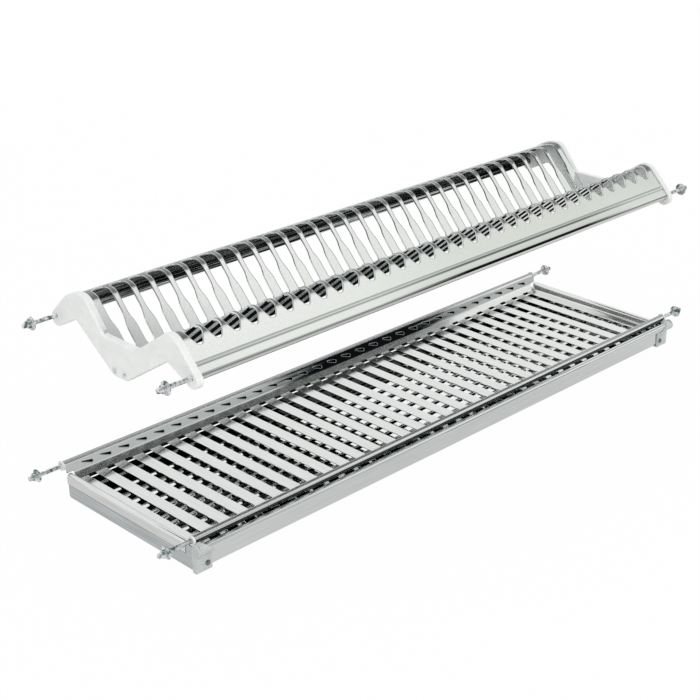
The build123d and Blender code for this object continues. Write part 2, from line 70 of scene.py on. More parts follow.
UPPER_FRONT_Y, UPPER_Z = bolt_axis("plate_rack", "front")
UPPER_BACK_Y = bolt_axis("plate_rack", "back")[0]
LOWER_Z = bolt_axis("glass_rack", "front")[1]
MIDDLE_Y = (UPPER_FRONT_Y + UPPER_BACK_Y) / 2
HALF_PIN = (UPPER_BACK_Y - UPPER_FRONT_Y) / 2 / MM


def linear(hex_colour):
    """An sRGB hex colour as linear RGBA."""
    parts = [int(hex_colour[i:i + 2], 16) / 255 for i in (0, 2, 4)]
    return [c / 12.92 if c <= 0.04045 else ((c + 0.055) / 1.055) ** 2.4 for c in parts] + [1.0]


def colour_setting(name, description, hex_colour):
    """A colour that a user may change, with its default as sRGB hex."""
    return bpy.props.FloatVectorProperty(name=name, description=description, size=4, min=0.0,
                                         max=1.0, default=linear(hex_colour), subtype="COLOR")


class DrainerSettings(bpy.types.PropertyGroup):
    """Sizes and colours that a user would change."""
    flange_depth: bpy.props.FloatProperty(
        name="Flange depth", description="How far a slot's edge is turned down",
        default=1.3 * MM, unit="LENGTH")
    flange_bead: bpy.props.FloatProperty(
        name="Flange bead", description="Height of the bright bead round a slot",
        default=0.35 * MM, unit="LENGTH")
    thread_pitch: bpy.props.FloatProperty(
        name="Thread pitch", description="Pitch of the bolts' thread, drawn coarse enough to show",
        default=1.25 * MM, unit="LENGTH")
    rack_colour: colour_setting("Plate rack", "Pale tone of the plate rack's steel", "f8f9f7")
    deck_colour: colour_setting("Deck", "Pale tone of the slit deck's steel", "f8f8f7")
    tray_colour: colour_setting("Tray", "Pale tone of the drip tray's steel", "f4f7f6")
    plastic_colour: colour_setting("Plastic", "Pale tone of the caps and plugs", "f8faf9")
    zinc_colour: colour_setting("Zinc", "Middle tone of the plated bolts and screws", "ccd4d6")
    brass_colour: colour_setting("Brass", "Pale tone of the threaded bushes", "cfae63")
    floor_colour: colour_setting("Floor", "Colour of the paper under the drainer", "f4f4f2")


def plug(tree, value, socket):
    """Give a socket a number, a colour, another socket, or a node's first usable output."""
    if isinstance(value, bpy.types.Node):
        value = next(output for output in value.outputs if output.enabled)
    if isinstance(value, bpy.types.NodeSocket):
        tree.links.new(value, socket)
    elif value is not None:
        socket.default_value = value


def add_node(tree, kind, *values, stops=(), **settings):
    """A node with its settings, whose usable inputs take the values in order; None skips one."""
    node = tree.nodes.new("ShaderNode" + kind)
    for key, value in settings.items():
        setattr(node, key, value)
    if stops:
        elements = node.color_ramp.elements
        while len(elements) < len(stops):
            elements.new(0.5)
        for element, (place, colour) in zip(elements, stops):
            element.position = place
            element.color = linear(colour) if isinstance(colour, str) else colour
    usable = [socket for socket in node.inputs if socket.enabled]
    for socket, value in zip(usable, values):
        plug(tree, value, socket)
    return node


def bare_tree(owner):
    """The emptied node tree of a material or a world."""
    owner.use_nodes = True
    owner.node_tree.nodes.clear()
    return owner.node_tree


def new_material(name):
    """A material with a Principled shader, its node tree and that shader."""
    material = bpy.data.materials.new(name)
    tree = bare_tree(material)
    shader = add_node(tree, "BsdfPrincipled")
    add_node(tree, "OutputMaterial", shader)
    return material, tree, shader


# The part of the grain's noise that a pattern is spread over
GRAIN_SPAN = (0.3, 0.7)


def grain(tree, line_mm, run_mm, along, detail=3.0):
    """Noise drawn out along an axis: lines of a width and a length in millimetres."""
    place = add_node(tree, "TexCoord").outputs["Object"]
    scale = [1 / (line_mm * MM)] * 3
    scale["XYZ".index(along)] = 1 / (run_mm * MM)
    mapped = add_node(tree, "Mapping", place, None, None, scale)
    return add_node(tree, "TexNoise", mapped, 1.0, detail, 0.6)


def place_and_normal(tree):
    """The shaded point, in metres in the frame, and the way it faces, each by X, Y and Z."""
    place = add_node(tree, "TexCoord").outputs["Object"]
    facing = add_node(tree, "NewGeometry").outputs["True Normal"]
    return [add_node(tree, "SeparateXYZ", vector).outputs for vector in (place, facing)]


# In the painted shade and painted reflections below, a MapRange node is 0 before its first place
# or slope and 1 past its second, or falls from 1 to 0, and so marks off one part of a piece.

def deck_painted_light(tree, tint):
    """Painted light on the deck: its underside painted dark as shade, a painted black reflection
    along the middle of its back wall, and painted reflection bands on its rails.
    """
    at, normal = place_and_normal(tree)
    # painted reflection: a black stretch along the middle of the back wall, pale towards its ends
    wobble = add_node(tree, "MapRange", grain(tree, 3.0, 90, "X"), *GRAIN_SPAN, -0.05, 0.05)
    along = add_node(tree, "MapRange", at["X"], -0.4, 0.4)
    along = add_node(tree, "Math", along, wobble, operation="ADD")
    painted_dark_stretch = add_node(tree, "ValToRGB", along, stops=(
        (0.0, "ffffff"), (0.35, "f2f4f3"), (0.43, "5d6365"), (0.46, "14181a"),
        (0.72, "171b1d"), (0.76, "b5b9b9"), (0.9, "ffffff")))
    behind = add_node(tree, "MapRange", at["Y"], MIDDLE_Y + 101 * MM, MIDDLE_Y + 102 * MM)
    forward = add_node(tree, "MapRange", normal["Y"], -0.8, -0.7, 1.0, 0.0)
    wall = add_node(tree, "Math", behind, forward, operation="MULTIPLY")
    tint = add_node(tree, "Mix", wall, tint, painted_dark_stretch, data_type="RGBA")
    # painted reflection: black and white bands across the rolled rails, by height
    height = add_node(tree, "MapRange", at["Z"], LOWER_Z - 5 * MM, LOWER_Z + 5 * MM)
    painted_rail_bands = add_node(tree, "ValToRGB", height, stops=(
        (0.0, "101314"), (0.22, "101314"), (0.28, "ffffff"), (0.44, "ffffff"), (0.49, "2c3133"),
        (0.62, "2c3133"), (0.67, "ffffff"), (0.9, "ffffff"), (0.97, "6c7273")))
    front = add_node(tree, "MapRange", at["Y"], MIDDLE_Y - 109 * MM, MIDDLE_Y - 108 * MM, 1.0, 0.0)
    back = add_node(tree, "MapRange", at["Y"], MIDDLE_Y + 108 * MM, MIDDLE_Y + 109 * MM)
    rails = add_node(tree, "Math", front, back, operation="MAXIMUM")
    painted_rail_bands = add_node(tree, "Mix", 1.0, tint, painted_rail_bands, data_type="RGBA", blend_type="MULTIPLY")
    tint = add_node(tree, "Mix", rails, tint, painted_rail_bands, data_type="RGBA")
    # painted shade: faces turned down go near black
    shaded_underside = add_node(tree, "MapRange", normal["Z"], -0.35, -0.15, 1.0, 0.0)
    return add_node(tree, "Mix", shaded_underside, tint, linear("202222"), data_type="RGBA"), None


def tray_painted_light(tree, tint):
    """Painted reflections in the tray: its floor painted dark under the back wall, with the drip
    guide's painted bright line in it, and its left-facing ends greyer with lines along Y.
    """
    at, normal = place_and_normal(tree)
    # painted reflection of the slats, back wall and drip guide above, in bands across the floor
    back = add_node(tree, "MapRange", at["Y"], MIDDLE_Y + 40 * MM, MIDDLE_Y + 100 * MM)
    bands = add_node(tree, "ValToRGB", back, stops=(
        (0.0, "ffffff"), (0.24, "ffffff"), (0.28, "8d8c85"), (0.43, "a3a29a"), (0.46, "3a3b3b"),
        (0.53, "3a3b3b"), (0.55, "ffffff"), (0.6, "ffffff"), (0.62, "181919"), (1.0, "101111")))
    up = add_node(tree, "MapRange", normal["Z"], 0.8, 0.9)
    tint = add_node(tree, "Mix", up, tint, bands, data_type="RGBA")
    # left-facing ends: brushed lines along Y, greyed as painted reflection
    streaks = add_node(tree, "ValToRGB", grain(tree, 1.6, 90, "Y"),
                       stops=((0.35, "bfc4c6"), (0.65, "dce0e1")))
    left = add_node(tree, "MapRange", normal["X"], -0.9, -0.7, 1.0, 0.0)
    return add_node(tree, "Mix", left, tint, streaks, data_type="RGBA"), None


# Lengths in mm of the painted dark reflection waves behind the front crest and inside it
PAINTED_FAN_WAVES = (25.0, 6.0)


def rack_painted_light(tree, tint):
    """Painted reflections and shade on the plate rack's bends: dark lines on curl and crests,
    streaks on their shaded insides.
    The second result is how matt a point is where the painted shade lies, because metal turns pale
    at a glancing look."""
    at, normal = place_and_normal(tree)
    # painted reflections: dark and bright lines by height across the front curl and face, hard in
    # the middle, softer towards the ends
    height = add_node(tree, "MapRange", at["Z"], UPPER_Z - 6 * MM, UPPER_Z + 36 * MM)
    soft = add_node(tree, "ValToRGB", height, stops=(
        (0.0, "b8bbba"), (0.12, "ffffff"), (0.17, "9da1a0"), (0.22, "ffffff"), (0.33, "ffffff"),
        (0.36, "b9bcba"), (0.39, "ffffff")))
    hard = add_node(tree, "ValToRGB", height, stops=(
        (0.0, "8c9090"), (0.07, "ffffff"), (0.155, "ffffff"), (0.168, "15191a"), (0.222, "15191a"),
        (0.235, "e6e8e7"), (0.33, "f4f5f4"), (0.355, "7b807f"), (0.385, "7b807f"), (0.4, "f8f8f7")))
    left = add_node(tree, "MapRange", at["X"], -0.14, 0.0)
    right = add_node(tree, "MapRange", at["X"], 0.22, 0.32, 1.0, 0.0)
    middle = add_node(tree, "Math", left, right, operation="MINIMUM")
    lines = add_node(tree, "Mix", middle, soft, hard, data_type="RGBA")
    lines = add_node(tree, "Mix", 1.0, tint, lines, data_type="RGBA", blend_type="MULTIPLY")
    front = add_node(tree, "MapRange", at["Y"], MIDDLE_Y - 90 * MM, MIDDLE_Y - 88 * MM, 1.0, 0.0)
    tint = add_node(tree, "Mix", front, tint, lines, data_type="RGBA")
    # painted reflection: the crests darkened near their tops
    crest = add_node(tree, "MapRange", at["Z"], UPPER_Z + 28 * MM, UPPER_Z + 32.5 * MM, 0.0, 0.85)
    tint = add_node(tree, "Mix", crest, tint, linear("626869"), data_type="RGBA")

    # painted reflection: dark waves seen through the front crest's openings, paler at the right end
    place = add_node(tree, "TexCoord").outputs["Object"]
    waves = [add_node(tree, "TexWave", place, pi / 10 / (width * MM), 0.5, 1.0, 0.5,
                      bands_direction="X").outputs["Fac"] for width in PAINTED_FAN_WAVES]
    bend = add_node(tree, "MapRange", at["Y"], MIDDLE_Y - 68 * MM, MIDDLE_Y - 66 * MM, 1.0, 0.0)
    wave = add_node(tree, "Mix", bend, *waves, data_type="FLOAT")
    painted_fan = add_node(tree, "MapRange", wave, 0.55, 0.75)
    painted_pale_end = add_node(tree, "MapRange", at["X"], 0.33, 0.36, 0.0, 0.9)
    painted_fan = add_node(tree, "Math", painted_fan, painted_pale_end, operation="MAXIMUM")
    # painted reflection: dark and bright streaks along X on the back leg's inside
    streaks = add_node(tree, "MapRange", grain(tree, 2.6, 200, "X", 2.0), 0.47, 0.6)
    rear = add_node(tree, "MapRange", at["Y"], MIDDLE_Y, MIDDLE_Y + 5 * MM)
    light = add_node(tree, "Mix", rear, painted_fan, streaks, data_type="FLOAT")

    # painted shade: the back leg's inside, faces turned down and the insides past the curl take the
    # painted pattern
    back_crest = add_node(tree, "MapRange", at["Y"], MIDDLE_Y + 66 * MM, MIDDLE_Y + 67 * MM)
    forward = add_node(tree, "MapRange", normal["Y"], -0.1, 0.0, 1.0, 0.0)
    painted_shade_mask = add_node(tree, "Math", back_crest, forward, operation="MULTIPLY")
    shaded_underside = add_node(tree, "MapRange", normal["Z"], -0.35, -0.15, 1.0, 0.0)
    painted_shade_mask = add_node(tree, "Math", painted_shade_mask, shaded_underside, operation="MAXIMUM")
    past_curl = add_node(tree, "MapRange", at["Y"], MIDDLE_Y - 103 * MM, MIDDLE_Y - 102 * MM)
    painted_shade_mask = add_node(tree, "Math", painted_shade_mask, past_curl, operation="MULTIPLY")
    painted_reflection = add_node(tree, "ValToRGB", light, stops=((0.0, "15181a"), (1.0, "f0f2f2")))
    tint = add_node(tree, "Mix", painted_shade_mask, tint, painted_reflection, data_type="RGBA")
    dark = add_node(tree, "Math", 1.0, light, operation="SUBTRACT")
    return tint, add_node(tree, "Math", painted_shade_mask, dark, operation="MULTIPLY")


def brushed_steel(name, pale, deep, along, line_mm, rough, bump, painted_light=None):
    """Steel whose fine lines run along one axis, with the painted shade and painted reflections
    that a painted-light function adds for its bends.
    """
    material, tree, shader = new_material(name)
    lines = grain(tree, line_mm, line_mm * 60, along)
    tint = add_node(tree, "ValToRGB", lines, stops=((0.3, deep), (0.7, pale)))
    plug(tree, 1.0, shader.inputs["Metallic"])
    if painted_light:
        tint, dull = painted_light(tree, tint)
        # where painted shade lies, the steel is made matt so that the painted dark shows
        if dull:
            metal = add_node(tree, "Math", 1.0, dull, operation="SUBTRACT")
            plug(tree, metal, shader.inputs["Metallic"])
            plug(tree, 0.0, shader.inputs["Specular IOR Level"])
    plug(tree, tint, shader.inputs["Base Color"])
    dullness = add_node(tree, "MapRange", lines, *GRAIN_SPAN, rough[1], rough[0])
    plug(tree, dullness, shader.inputs["Roughness"])
    height = add_node(tree, "Bump", bump, line_mm * MM * 0.02)
    plug(tree, lines, height.inputs["Height"])
    plug(tree, height, shader.inputs["Normal"])
    return material


def clouded(name, cloud_mm, stops, rough, spark_mm=None):
    """A finish whose colour and shine drift in soft patches, or whose shine has finer sparks."""
    material, tree, shader = new_material(name)
    detail = 3.0 if spark_mm else 1.0
    cloud = grain(tree, cloud_mm, cloud_mm, "X", detail)
    plug(tree, add_node(tree, "ValToRGB", cloud, stops=stops), shader.inputs["Base Color"])
    spark = grain(tree, spark_mm, spark_mm, "X", 1.0) if spark_mm else cloud
    dullness = add_node(tree, "MapRange", spark, *GRAIN_SPAN, *rough)
    plug(tree, dullness, shader.inputs["Roughness"])
    return material, tree, shader


def moulded(name, deep, pale, inward):
    """Moulded plastic with soft clouds of colour, into which a share of the light goes."""
    material, tree, shader = clouded(name, 14, ((0.3, deep), (0.7, pale)), (0.38, 0.5), 0.7)
    for key, value in (("IOR", 1.49), ("Subsurface Weight", inward),
                       ("Subsurface Radius", (1.0, 1.0, 1.0)), ("Subsurface Scale", 4 * MM)):
        plug(tree, value, shader.inputs[key])
    return material


def make_materials(settings):
    """Every finish of the drainer, by a short name."""
    finishes = {}
    # Bright rolled 18/10 stainless steel, pressed: a soft sheen with fine lines front to back, and
    # painted reflections and shade on its bends.
    finishes["rack"] = brushed_steel("stainless_steel_bright_rolled", settings.rack_colour,
                                     "e6e8e4", "Y", 0.9, (0.06, 0.13), 0.06, rack_painted_light)
    # The same sheet, slit into slats: nearly white where it faces the light, with painted shade
    # underneath and painted reflections on its back wall and rails.
    finishes["deck"] = brushed_steel("stainless_steel_slit_deck", settings.deck_colour,
                                     "e4e5e3", "Y", 0.8, (0.08, 0.18), 0.08, deck_painted_light)
    # Mirror-rolled stainless steel: the slats above it are painted into the tray as hard black and
    # white reflections.
    finishes["tray"] = brushed_steel("stainless_steel_mirror_rolled", settings.tray_colour,
                                     "e2e6e5", "X", 1.2, (0.02, 0.06), 0.08, tray_painted_light)
    # Polished edges left by the flanging tool: a clean bright line.
    finishes["rim"] = brushed_steel("stainless_steel_polished_flange", "f4f5f4", "dfe2e1", "Y",
                                    0.6, (0.05, 0.10), 0.05)
    # Dark grey steel, painted shade: the rail's inner turn, dark behind the drain holes, and the
    # drip guide.
    finishes["inner"] = brushed_steel("steel_dark_painted_shade", "4a4d4e", "2c2e2f", "X",
                                      1.0, (0.35, 0.5), 0.3)
    # Hardened steel screw, phosphated: dark grey, dull.
    finishes["screw"] = brushed_steel("steel_phosphated_screw", "9aa0a1", "6c7273", "Z",
                                      0.8, (0.3, 0.4), 0.1)
    # Cold-formed steel, bright zinc plated with a blue passivation: greyish blue, softly shiny.
    zinc = ((0.34, "6f7a7d"), (0.45, settings.zinc_colour), (0.62, "ffffff"))
    finishes["zinc"], tree, shader = clouded("steel_zinc_plated_blue", 5.0, zinc, (0.2, 0.12))
    plug(tree, 1.0, shader.inputs["Metallic"])
    # Injection-moulded polypropylene, natural white: waxy, lets a little light in.
    finishes["plastic"] = moulded("polypropylene_moulded_natural", "eef0ef",
                                  settings.plastic_colour, 0.2)
    # The same plastic on the brackets and bead caps, greyer: partly their own grey, partly painted
    # shade for their darker sides.
    finishes["greyed plastic"] = moulded("polypropylene_moulded_greyed", "c3c8c7", "d6dad9", 0.1)
    # Turned brass, bare: warm yellow with rings from the tool.
    finishes["brass"], tree, shader = new_material("brass_turned")
    rings = grain(tree, 0.8, 40, "Y")
    tint = add_node(tree, "ValToRGB", rings, stops=((0.3, "a5803f"), (0.7, settings.brass_colour)))
    plug(tree, tint, shader.inputs["Base Color"])
    dullness = add_node(tree, "MapRange", rings, *GRAIN_SPAN, 0.22, 0.34)
    plug(tree, dullness, shader.inputs["Roughness"])
    plug(tree, 1.0, shader.inputs["Metallic"])
    return finishes


def place_mm(x, y, z, height):
    """A point given in mm from the middle of a tier's bolt axes, in metres in the frame."""
    return Vector((x * MM, MIDDLE_Y + y * MM, height + z * MM))


def mesh_piece(name, verts, faces, material, body, smooth=True):
    """A mesh object that rides on a body and takes a finish."""
    mesh = bpy.data.meshes.new(name)
    mesh.from_pydata(verts, [], faces)
    work = bmesh.new()
    work.from_mesh(mesh)
    bmesh.ops.recalc_face_normals(work, faces=work.faces)
    for face in work.faces:
        face.smooth = smooth
    work.to_mesh(mesh)
    work.free()
    piece = bpy.data.objects.new(name, mesh)
    bpy.context.scene.collection.objects.link(piece)
    mesh.materials.append(material)
    if smooth:
        mesh.set_sharp_from_angle(angle=radians(38))
    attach(piece, body)
    return piece


def swept(paths, closed):
    """Verts and faces of a skin over rows of points, which close on themselves or get flat ends."""
    verts, faces = [], []
    for rows in paths:
        first = len(verts)
        width = len(rows[0])
        for row in rows:
            verts.extend(row)
        for i in range(len(rows) if closed else len(rows) - 1):
            after = (i + 1) % len(rows)
            for j in range(width):
                k = (j + 1) % width
                faces.append((first + i * width + j, first + i * width + k,
                              first + after * width + k, first + after * width + j))
        if not closed:
            last = len(verts) - width
            faces += [tuple(range(first, first + width)), tuple(range(last, len(verts)))]
    return verts, faces


# Section of the pressed sheet, in mm from the bolt axes: (y, z, radius) of each bend's upper side,
# with a negative radius where the sheet bends upwards
CURL = (-112.0, 0.0, 5.0)
FRONT_CREST = (-80.0, 19.0, 15.0)
VALLEY = (1.0, -15.5, -10.5)
BACK_CREST = (66.0, 19.0, 15.0)
BACK_SWEEP = (66.0, -10.0, 44.0)
BACK_CURL = (HALF_PIN, 0.0, 5.0)
SHEET_GAUGE = 1.0
SLOT_PITCH = 23.7
SLOT_COUNT = 32
SLOT_PLACES = [(k - (SLOT_COUNT - 1) / 2) * SLOT_PITCH for k in range(SLOT_COUNT)]


def heading_between(first, second):
    """The direction of the straight sheet from one bend to the next, in radians over +Y."""
    along, up = second[0] - first[0], second[1] - first[1]
    return atan2(up, along) - asin((first[2] - second[2]) / hypot(along, up))


def straight_run(first, second):
    """Where the sheet leaves one bend and meets the next, as two (y, z) points."""
    heading = heading_between(first, second)
    side = (-sin(heading), cos(heading))
    return [(bend[0] + side[0] * bend[2], bend[1] + side[1] * bend[2]) for bend in (first, second)]


def arc_points(centre, radius, start, turn, steps):
    """Points of an arc in plan, from a direction in degrees through a turn."""
    return [(centre[0] + radius * cos(radians(start + turn * i / steps)),
             centre[1] + radius * sin(radians(start + turn * i / steps))) for i in range(steps + 1)]


def refined(points, longest):
    """A closed outline with its long runs divided."""
    result = []
    for (x0, y0), (x1, y1) in zip(points, points[1:] + points[:1]):
        parts = max(1, int(hypot(x1 - x0, y1 - y0) / longest + 0.999))
        result += [(x0 + (x1 - x0) * i / parts, y0 + (y1 - y0) * i / parts) for i in range(parts)]
    return result


def plate_slot_outline():
    """The bottle-shaped slot in plan, in mm, anticlockwise."""
    half = arc_points((0, 66.5), 9, 0, 90, 5)
    return_side = arc_points((0, 18.75), 5.75, -90, 90, 6)
    side = return_side[1:-1] + [(5.75, 28.5), (6.0, 31.0), (6.9, 34.0), (8.1, 37.0), (8.9, 40.0),
                                (9.0, 44.0)] + half[:-1]
    mirrored = [(-x, y) for x, y in reversed(side)]
    return refined([(0, 13.0)] + side + [(0, 75.5)] + mirrored, 4.0)


def crest_slot_outline():
    """The opening over the front crest in plan, in mm, anticlockwise: wide, with a blunt tip."""
    side = arc_points((0, -91.0), 6.2, -90, 62, 5)[1:] + [(7.6, -91.4), (9.2, -88.6), (9.8, -84.5)]
    side += arc_points((0, -73.2), 9.8, -8, 98, 6)[:-1]
    mirrored = [(-x, y) for x, y in reversed(side)]
    return refined([(0, -97.2)] + side + [(0, -63.4)] + mirrored, 3.0)


def section_path():
    """The sheet's upper side from curl to curl: rows (run, y, z, normal y, normal z), in mm."""
    bends = [CURL, FRONT_CREST, VALLEY, BACK_CREST, BACK_SWEEP, BACK_CURL]
    headings = [heading_between(a, b) for a, b in zip(bends, bends[1:])]
    headings[3] = 0.0  # crest and sweep share their highest point, where the sheet is level
    turns = [headings[0] + 1.5 * pi, *headings, headings[-1] - 1.5 * pi]
    path = []
    for (y, z, radius), start, end in zip(bends, turns, turns[1:]):
        longest = 2.2 if abs(radius) > 6 else 1.6
        steps = max(1, round(abs(end - start) * abs(radius) / longest))
        for i in range(steps + 1):
            heading = start + (end - start) * i / steps
            normal = (-sin(heading), cos(heading))
            path.append((y + normal[0] * radius, z + normal[1] * radius, *normal))
    rows, run = [], 0.0
    for i, row in enumerate(path):
        if i:
            run += hypot(row[0] - path[i - 1][0], row[1] - path[i - 1][1])
        if not rows or run - rows[-1][0] > 1e-4:
            rows.append((run, *row))
    return rows


def run_at(path, y):
    """How far along the section a place in plan lies, between the curls."""
    low = min(range(len(path)), key=lambda i: path[i][1] if path[i][2] > -4 else 0.0)
    for a, b in zip(path[low:], path[low + 1:]):
        if a[1] <= y <= b[1] and b[1] > a[1]:
            return a[0] + (b[0] - a[0]) * (y - a[1]) / (b[1] - a[1])
    raise ValueError(f"no sheet at {y}")


def laid_flat(path, plan):
    """A plan outline as points (x, run), with a point wherever it crosses a row of the section."""
    corners = [(x, run_at(path, y)) for x, y in plan]
    outline = []
    for (x0, run0), (x1, run1) in zip(corners, corners[1:] + corners[:1]):
        outline.append((x0, run0))
        low, high = min(run0, run1) + 0.05, max(run0, run1) - 0.05
        crossed = [row[0] for row in path if low < row[0] < high]
        for run in crossed if run1 > run0 else reversed(crossed):
            outline.append((x0 + (x1 - x0) * (run - run0) / (run1 - run0), run))
    return outline


def at_run(path, run):
    """Place and normal on the sheet's upper side, (y, z, normal y, normal z), at a run."""
    for a, b in zip(path, path[1:]):
        if run <= b[0] + 1e-6:
            share = min(max((run - a[0]) / (b[0] - a[0]), 0.0), 1.0)
            return [p + (q - p) * share for p, q in zip(a[1:], b[1:])]
    return path[-1][1:]


def inside(point, outline):
    """Whether a point in the plane lies within a closed outline."""
    hit = False
    for (x0, y0), (x1, y1) in zip(outline, outline[1:] + outline[:1]):
        if (y0 > point[1]) != (y1 > point[1]) and \
                point[0] < x0 + (point[1] - y0) * (x1 - x0) / (y1 - y0):
            hit = not hit
    return hit


def sheet_cell(path, outlines, half_width):
    """One pitch of the sheet laid flat, with its slots cut out: points (x, run) and triangles."""
    points, edges = [], []
    for row in path:
        first = len(points)
        points += [Vector((-half_width, row[0])), Vector((half_width, row[0]))]
        edges.append((first, first + 1))
    for outline in outlines:
        first = len(points)
        points += [Vector(p) for p in outline]
        edges += [(first + i, first + (i + 1) % len(outline)) for i in range(len(outline))]
    found = delaunay_2d_cdt(points, edges, [], 0, 1e-5)
    keep = []
    for face in found[2]:
        middle = sum((found[0][i] for i in face), Vector((0, 0))) / 3
        if not any(inside(middle, outline) for outline in outlines):
            keep.append(tuple(face))
    return found[0], keep


def sheet_solid(path, cells):
    """Verts, faces and normals of the bent sheet in its gauge, from flat cells (centre, cell)."""
    verts, faces, normals = [], [], []
    for centre, (points, triangles) in cells:
        places = [at_run(path, point[1]) for point in points]
        edges = {}
        for a, b, c in triangles:
            for pair in ((a, b), (b, c), (c, a)):
                edges[pair] = edges.get(pair, 0) + 1
        first = len(verts)
        for sink, sense in ((0.0, 1), (SHEET_GAUGE, -1)):
            for point, (y, z, ny, nz) in zip(points, places):
                verts.append(place_mm(centre + point[0], y - ny * sink, z - nz * sink, UPPER_Z))
                normals.append((0.0, ny * sense, nz * sense))
        below = first + len(points)
        faces += [(first + a, first + b, first + c) for a, b, c in triangles]
        faces += [(below + c, below + b, below + a) for a, b, c in triangles]
        half_cell = max(point[0] for point in points)
        for a, b in edges:
            joined = abs(abs(points[a][0]) - half_cell) < 1e-4 and points[a][0] == points[b][0]
            if (b, a) in edges or joined:
                continue
            across = verts[first + b] - verts[first + a]
            out = across.cross(Vector(normals[first + a])).normalized()
            corner = len(verts)
            verts += [verts[first + a], verts[first + b], verts[below + b], verts[below + a]]
            normals += [tuple(out)] * 4
            faces.append((corner + 3, corner + 2, corner + 1, corner))
    return verts, faces, normals


class DRAINER_OT_plate_sheet(bpy.types.Operator):
    """The plate rack's pressed sheet with its two rows of slots, in true thickness"""
    bl_idname = "drainer.plate_sheet"
    bl_label = "Plate rack sheet"

    def execute(self, context):
        path = section_path()
        low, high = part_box("plate_rack_sheet")
        half = (high[0] - low[0]) / 2 / MM
        outlines = [laid_flat(path, plan) for plan in (plate_slot_outline(), crest_slot_outline())]
        width = SLOT_PITCH / 2
        slotted = sheet_cell(path, outlines, width)
        margin = half - SLOT_COUNT * width
        plain = sheet_cell(path, [], margin / 2)
        cells = [(x, slotted) for x in SLOT_PLACES]
        cells += [(end * (half - margin / 2), plain) for end in (-1, 1)]
        verts, faces, normals = sheet_solid(path, cells)
        mesh = bpy.data.meshes.new("pressed_plate_sheet")
        mesh.from_pydata(verts, [], faces)
        mesh.shade_smooth()
        mesh.normals_split_custom_set_from_vertices(normals)
        mesh.materials.append(FINISH["rack"])
        piece = bpy.data.objects.new("pressed_plate_sheet", mesh)
        bpy.context.scene.collection.objects.link(piece)
        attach(piece, "racks")
        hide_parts("plate_rack_sheet")
        return {"FINISHED"}


def flange_rows(outline, path, centre_x, section):
    """Rows of points of a flange that follows an outline (x, run) on the sheet, by its section."""
    rows = []
    count = len(outline)
    for i, (x, run) in enumerate(outline):
        x0, run0 = outline[i - 1]
        x1, run1 = outline[(i + 1) % count]
        length = hypot(x1 - x0, run1 - run0)
        out = ((run1 - run0) / length, -(x1 - x0) / length)
        y, z, ny, nz = at_run(path, run)
        rows.append([place_mm(centre_x + x + out[0] * across, y + out[1] * across * nz + ny * rise,
                              z - out[1] * across * ny + nz * rise, UPPER_Z)
                     for across, rise in section])
    return rows


class DRAINER_OT_flanges(bpy.types.Operator):
    """The turned-down, polished edges of the plate slots and the openings over the front crest"""
    bl_idname = "drainer.flanges"
    bl_label = "Slot flanges"

    def execute(self, context):
        depth = context.scene.drainer.flange_depth / MM
        bead = context.scene.drainer.flange_bead / MM
        # (across, rise) in mm from the cut edge: over the bead, down the turn and back inside
        section = [(0.5, 0.02), (0.36, bead * 0.7), (0.1, bead), (-0.22, bead * 0.5),
                   (-0.36, -0.35), (-0.38, -depth), (-0.05, -depth), (-0.02, -0.9), (0.3, -0.3)]
        path = section_path()
        for name, plan in (("plate_slot_flanges", plate_slot_outline()),
                           ("crest_slot_flanges", crest_slot_outline())):
            outline = laid_flat(path, plan)
            paths = [flange_rows(outline, path, x, section) for x in SLOT_PLACES]
            verts, faces = swept(paths, True)
            mesh_piece(name, verts, faces, FINISH["rim"], "racks")
        return {"FINISHED"}


FRONT_BEAD_PLACE = 0.27        # share of the way up the front face
FRONT_BEAD_HALF_WIDTH = 2.4
FRONT_BEAD_HEIGHT = 0.6
FRONT_BEAD_STEPS = 12
FRONT_BEAD_INSET = 5.0         # from the sheet's ends
SURFACE_LIFT = 0.02            # keeps a thin piece just clear of the sheet that it lies on
SURFACE_SINK = 0.3             # how far its back reaches into that sheet


class DRAINER_OT_front_bead(bpy.types.Operator):
    """The stiffening bead pressed along the plate rack's front face"""
    bl_idname = "drainer.front_bead"
    bl_label = "Front bead"

    def execute(self, context):
        low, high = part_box("plate_rack_sheet")
        (y0, z0), (y1, z1) = straight_run(CURL, FRONT_CREST)
        run = hypot(y1 - y0, z1 - z0)
        along, out = ((y1 - y0) / run, (z1 - z0) / run), (-(z1 - z0) / run, (y1 - y0) / run)
        middle = (y0 + (y1 - y0) * FRONT_BEAD_PLACE, z0 + (z1 - z0) * FRONT_BEAD_PLACE)
        half = FRONT_BEAD_HALF_WIDTH
        rows = []
        for x in (low[0] / MM + FRONT_BEAD_INSET, high[0] / MM - FRONT_BEAD_INSET):
            row = []
            for step in range(FRONT_BEAD_STEPS + 1):
                across = -half + 2 * half * step / FRONT_BEAD_STEPS
                rise = SURFACE_LIFT + FRONT_BEAD_HEIGHT * cos(across / half * pi / 2) ** 2
                row.append(place_mm(x, middle[0] + along[0] * across + out[0] * rise,
                                    middle[1] + along[1] * across + out[1] * rise, UPPER_Z))
            row.append(place_mm(x, middle[0] - out[0] * SURFACE_SINK,
                                middle[1] - out[1] * SURFACE_SINK, UPPER_Z))
            rows.append(row)
        verts, faces = swept([rows], False)
        mesh_piece("plate_rack_front_bead", verts, faces, FINISH["rack"], "racks")
        return {"FINISHED"}


